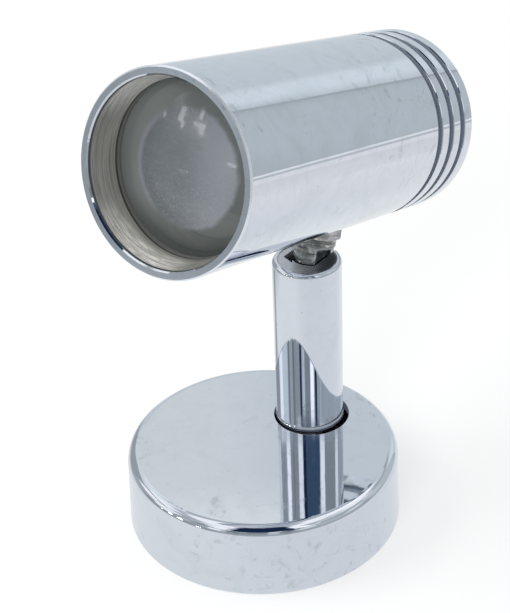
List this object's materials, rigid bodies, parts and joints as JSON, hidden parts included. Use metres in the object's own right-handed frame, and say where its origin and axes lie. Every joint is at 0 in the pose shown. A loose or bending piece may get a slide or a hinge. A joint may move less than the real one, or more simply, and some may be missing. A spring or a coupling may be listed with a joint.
{
  "type": "courtesy light",
  "caption": "Small swivelling courtesy or reading light: tubular head with a recessed lens on a knuckle, a round stem that turns and a round base that screws down.",
  "frame": {"origin": "centre of the base's flat mounting face", "axes": "+Z out of the mounting surface, along the stem; the stem stands off centre towards +Y; the head points towards -Y, turned 8 degrees towards +X and raised 15 degrees as in the picture"},
  "size_m": [0.0604, 0.0897, 0.1157],
  "materials": {
    "polished_chrome": "polished chrome plate on brass",
    "turned_nickel": "turned and nickel plated brass",
    "cast_aluminium": "plain casting",
    "brass": "turned",
    "steel": "zinc plated or stainless",
    "spring_steel": "blued spring steel",
    "black_rubber": "moulded",
    "nylon": "natural nylon",
    "terminal_plastic": "moulded",
    "ceramic": "unglazed ceramic",
    "reflector": "bright pressed reflector",
    "lens_glass": "pressed glass, stippled in the middle",
    "lamp_glass": "clear quartz",
    "lead_insulation": "silicone insulation"
  },
  "bodies": {
    "base": {"base_canopy": "polished_chrome", "canopy_set_screws": "steel", "base_gasket": "black_rubber", "mounting_plate": "cast_aluminium", "cable_grommet": "black_rubber", "pivot_bush": "nylon", "friction_washer": "nylon", "stop_pin": "steel", "terminal_block": "terminal_plastic", "terminal_clamps": "brass", "terminal_screws": "steel", "terminal_block_screw": "steel", "base_leads": "lead_insulation"},
    "stem": {"stem_tube": "polished_chrome", "stem_foot": "brass", "stop_collar": "steel", "disc_spring": "spring_steel", "stem_nut": "brass", "knuckle_socket": "turned_nickel", "knuckle_pin": "steel", "socket_set_screw": "steel", "stem_leads": "lead_insulation"},
    "head": {"neck": "turned_nickel", "tilt_friction_discs": "spring_steel", "neck_collar": "turned_nickel", "saddle_washer": "steel", "neck_nut": "brass", "head_shell": "polished_chrome", "rear_cap": "polished_chrome", "cap_o_ring": "black_rubber", "lens_gasket": "black_rubber", "lens_glass": "lens_glass", "lens_snap_ring": "spring_steel", "lamp_reflector": "reflector", "lamp_capsule": "lamp_glass", "lamp_pins": "steel", "lamp_holder": "ceramic", "holder_plate": "steel", "holder_screws": "steel", "holder_snap_ring": "spring_steel", "head_leads": "lead_insulation"}
  },
  "joints": [
    {"name": "stem_pan", "type": "hinge", "parent": "base", "child": "stem", "pos_m": [0, 0.0155, 0.0111], "axis": [0, 0, 1], "range_deg": [-168, 152]},
    {"name": "head_tilt", "type": "hinge", "parent": "stem", "child": "head", "pos_m": [0, 0.0155, 0.0478], "axis": [-0.9901, -0.1404, 0], "range_deg": [-1, 75]}
  ]
}
